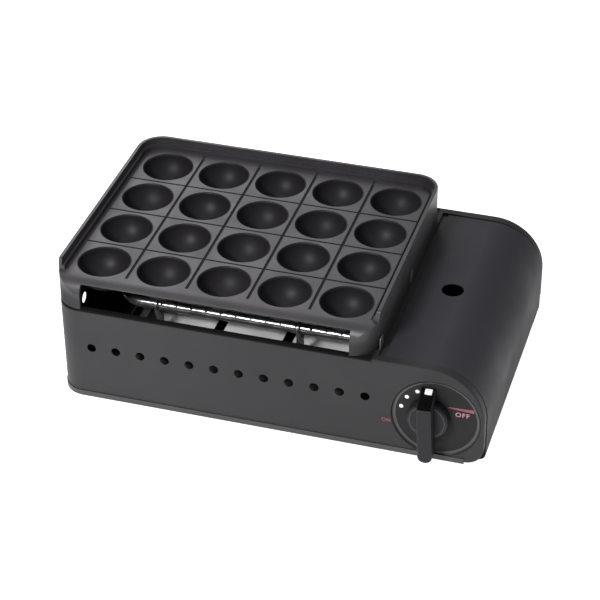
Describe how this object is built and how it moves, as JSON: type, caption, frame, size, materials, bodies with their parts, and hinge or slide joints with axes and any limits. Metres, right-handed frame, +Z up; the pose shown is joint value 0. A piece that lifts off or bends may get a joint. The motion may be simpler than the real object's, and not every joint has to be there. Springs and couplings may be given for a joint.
{
  "type": "takoyaki maker",
  "caption": "Countertop gas cooker with a lift-off cast plate of round cups over a tube burner, a front control knob and a hinged cover over the cartridge bay.",
  "frame": {"origin": "on the table under the middle of the whole cooker, knob included", "axes": "+Z up, -Y to the front with the knob, +X to the right where the cartridge bay is"},
  "size_m": [0.334, 0.23, 0.115],
  "materials": {
    "coated_plate": "matt non-stick coating on cast aluminium",
    "black_sheet": "semi-gloss black enamel on sheet steel",
    "pan_sheet": "dark grey enamel on sheet steel",
    "galvanised": "zinc-plated sheet steel",
    "aluminised": "bright aluminised sheet",
    "steel_tube": "drawn steel tube",
    "zinc_casting": "die-cast zinc",
    "brass": "turned brass",
    "copper_pipe": "soft copper pipe",
    "magnet": "sintered magnet with a thin rubber skin",
    "ceramic": "glazed white ceramic",
    "knob_plastic": "satin black moulding",
    "igniter_plastic": "moulded housing",
    "rubber": "soft black rubber"
  },
  "bodies": {
    "base": {"body_shell": "black_sheet", "base_pan": "pan_sheet", "rubber_feet": "rubber", "partition_wall": "black_sheet", "plate_locating_tabs": "galvanised", "burner_tube": "steel_tube", "mixing_tube": "steel_tube", "burner_end_plug": "brass", "burner_brackets": "galvanised", "heat_shield_tray": "aluminised", "valve_bracket": "galvanised", "valve_body": "zinc_casting", "governor_housing": "zinc_casting", "governor_cap": "galvanised", "magnet_ring": "magnet", "gas_feed_pipe": "copper_pipe", "gas_jet": "brass", "jet_bracket": "galvanised", "igniter_body": "igniter_plastic", "igniter_lead": "rubber", "electrode_bracket": "galvanised", "electrode_insulator": "ceramic", "spark_electrode": "steel_tube", "cover_hinge_leaves": "galvanised", "cover_hinge_pins": "steel_tube", "cartridge_cradle": "galvanised", "heat_panel": "aluminised"},
    "plate": {"takoyaki_plate": "coated_plate"},
    "cover": {"cartridge_cover": "black_sheet", "cover_hinge_straps": "galvanised"},
    "knob": {"knob": "knob_plastic", "valve_spindle": "brass"}
  },
  "joints": [
    {"name": "plate_lift", "type": "slide", "parent": "base", "child": "plate", "axis": [0, 0, 1], "range_m": [0, 0.08]},
    {"name": "cover_hinge", "type": "hinge", "parent": "base", "child": "cover", "pos_m": [0.1633, 0, 0.0082], "axis": [0, 1, 0], "range_deg": [0, 90]},
    {"name": "knob_turn", "type": "hinge", "parent": "base", "child": "knob", "pos_m": [0.125, -0.1, 0.041], "axis": [0, -1, 0], "range_deg": [0, 105]}
  ]
}
